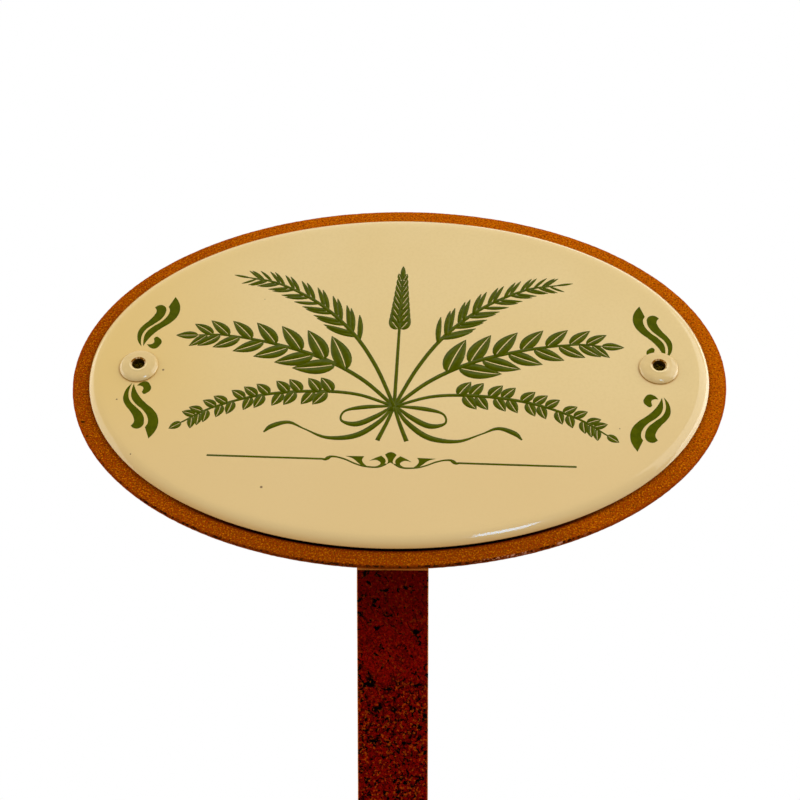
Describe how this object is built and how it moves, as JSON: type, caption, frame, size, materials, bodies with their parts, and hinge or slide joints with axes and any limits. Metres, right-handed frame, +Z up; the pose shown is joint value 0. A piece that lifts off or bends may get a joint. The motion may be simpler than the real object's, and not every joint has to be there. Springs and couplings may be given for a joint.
{
  "type": "plant label stake",
  "caption": "Oval enamelled plant label riveted to a rusted steel plate, leaning back on the bent top of a pointed flat bar stake.",
  "frame": {"origin": "the stake's point, on the middle of the bar's thickness and width", "axes": "+Z up along the stake, -Y towards the front of the sign, +X to the right of someone reading it"},
  "size_m": [0.1584, 0.0765, 0.3769],
  "materials": {
    "enamel": "gloss",
    "rusted_plate": "matte",
    "rusted_bar": "matte",
    "rivet_lacquer": "satin",
    "mandrel_steel": "satin",
    "weld_metal": "matte"
  },
  "bodies": {
    "root": {"sign_plate": "enamel", "backing_plate": "rusted_plate", "stake": "rusted_bar", "rivet_body_left": "rivet_lacquer", "rivet_body_right": "rivet_lacquer", "rivet_mandrel_left": "mandrel_steel", "rivet_mandrel_right": "mandrel_steel", "weld_upper_left": "weld_metal", "weld_upper_right": "weld_metal", "weld_lower_left": "weld_metal", "weld_lower_right": "weld_metal"}
  },
  "joints": []
}
